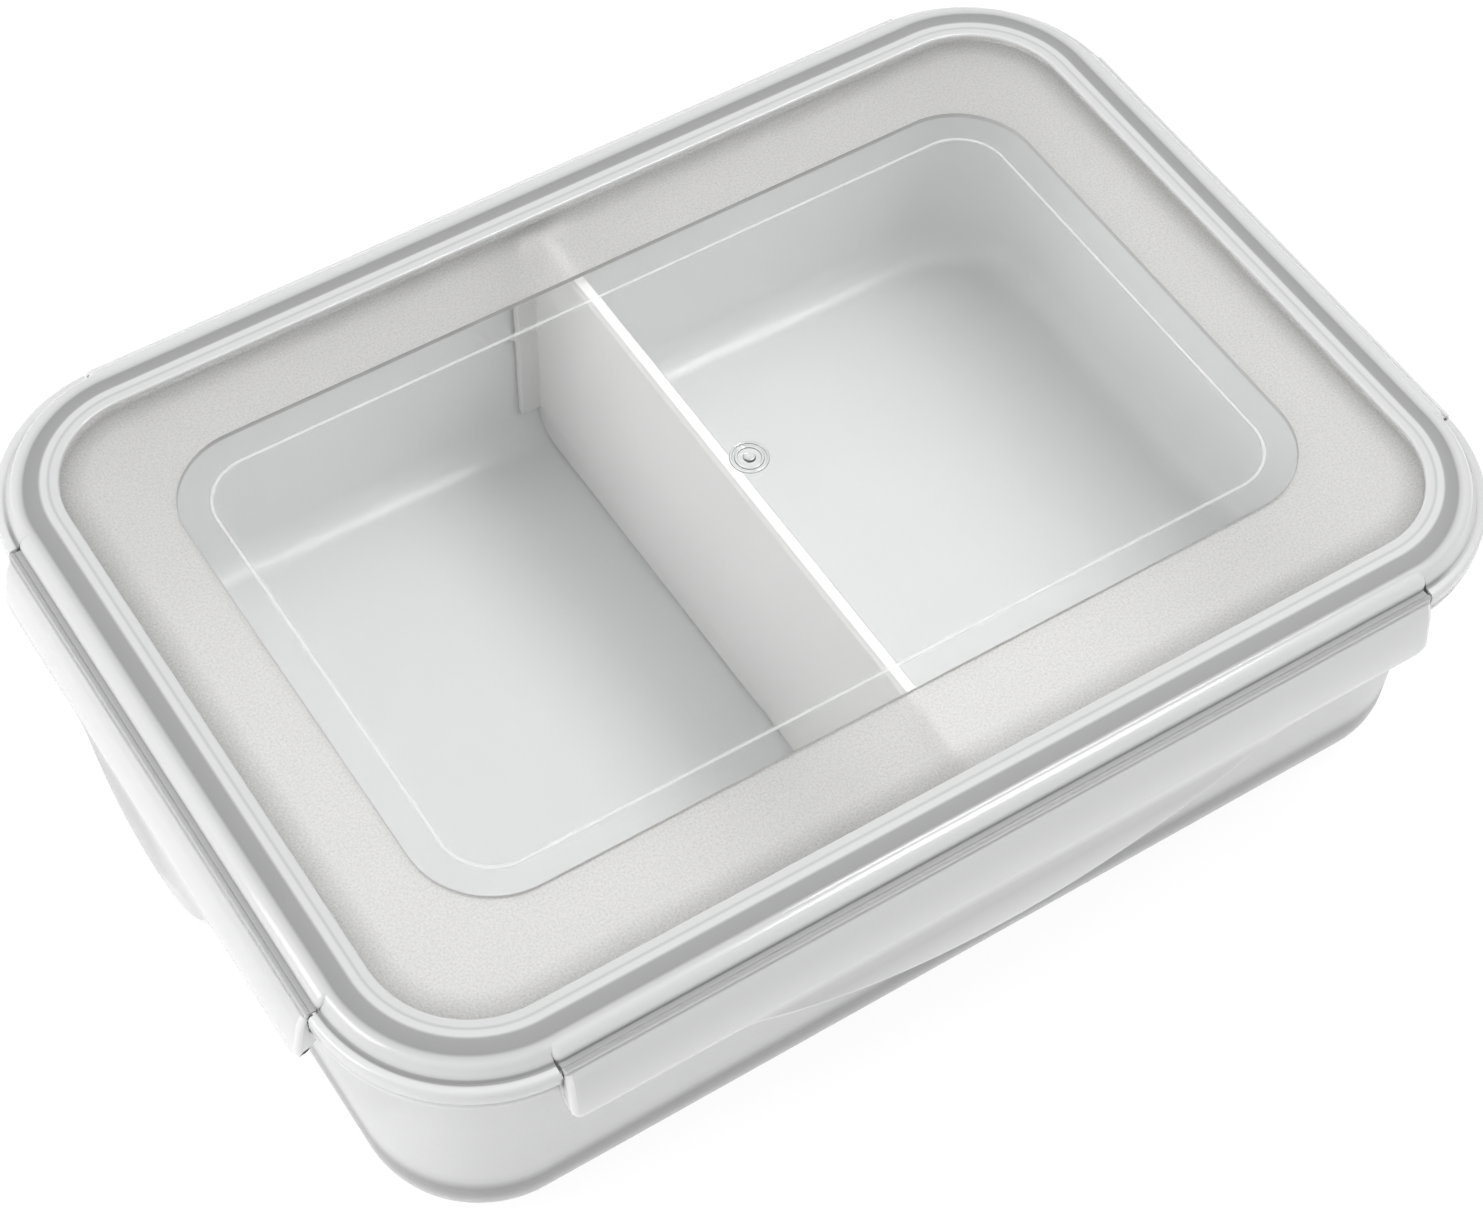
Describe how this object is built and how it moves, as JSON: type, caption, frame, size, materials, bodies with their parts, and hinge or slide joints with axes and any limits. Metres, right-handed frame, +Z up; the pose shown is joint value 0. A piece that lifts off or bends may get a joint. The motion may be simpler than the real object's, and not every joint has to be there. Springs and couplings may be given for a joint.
{
  "type": "lunch box",
  "caption": "Rectangular divided lunch box with a clear-windowed sealing lid that lifts off, held by a hinged latch with a finger tab on each side.",
  "frame": {"origin": "centre of the box on the surface that the tub stands on", "axes": "+X along the long sides, +Y towards the back long side, +Z up"},
  "size_m": [0.221, 0.1582, 0.061],
  "materials": {
    "tub_plastic": "milky translucent, smooth",
    "divider_plastic": "white, satin",
    "lid_plastic": "milky translucent, satin",
    "frosted_panel": "fine frosted texture",
    "clear_window": "clear, polished",
    "seal_silicone": "translucent silicone, matt"
  },
  "bodies": {
    "base": {"tub": "tub_plastic"},
    "divider": {"divider": "divider_plastic"},
    "lid": {"lid_frame": "lid_plastic", "lid_panel": "frosted_panel", "window": "clear_window", "seal": "seal_silicone", "hinge_film_front": "lid_plastic", "hinge_film_back": "lid_plastic", "hinge_film_left": "lid_plastic", "hinge_film_right": "lid_plastic"},
    "latch_front": {"latch_front": "lid_plastic"},
    "latch_back": {"latch_back": "lid_plastic"},
    "latch_left": {"latch_left": "lid_plastic"},
    "latch_right": {"latch_right": "lid_plastic"}
  },
  "joints": [
    {"name": "lid_lift", "type": "slide", "parent": "base", "child": "lid", "axis": [0, 0, 1], "range_m": [0, 0.08]},
    {"name": "divider_slide", "type": "slide", "parent": "base", "child": "divider", "axis": [1, 0, 0], "range_m": [-0.065, 0.065]},
    {"name": "latch_front_hinge", "type": "hinge", "parent": "lid", "child": "latch_front", "pos_m": [0, -0.07625, 0.0576], "axis": [-1, 0, 0], "range_deg": [0, 135]},
    {"name": "latch_back_hinge", "type": "hinge", "parent": "lid", "child": "latch_back", "pos_m": [0, 0.07625, 0.0576], "axis": [1, 0, 0], "range_deg": [0, 135]},
    {"name": "latch_left_hinge", "type": "hinge", "parent": "lid", "child": "latch_left", "pos_m": [-0.1076, 0, 0.0576], "axis": [0, 1, 0], "range_deg": [0, 135]},
    {"name": "latch_right_hinge", "type": "hinge", "parent": "lid", "child": "latch_right", "pos_m": [0.1076, 0, 0.0576], "axis": [0, -1, 0], "range_deg": [0, 135]}
  ]
}
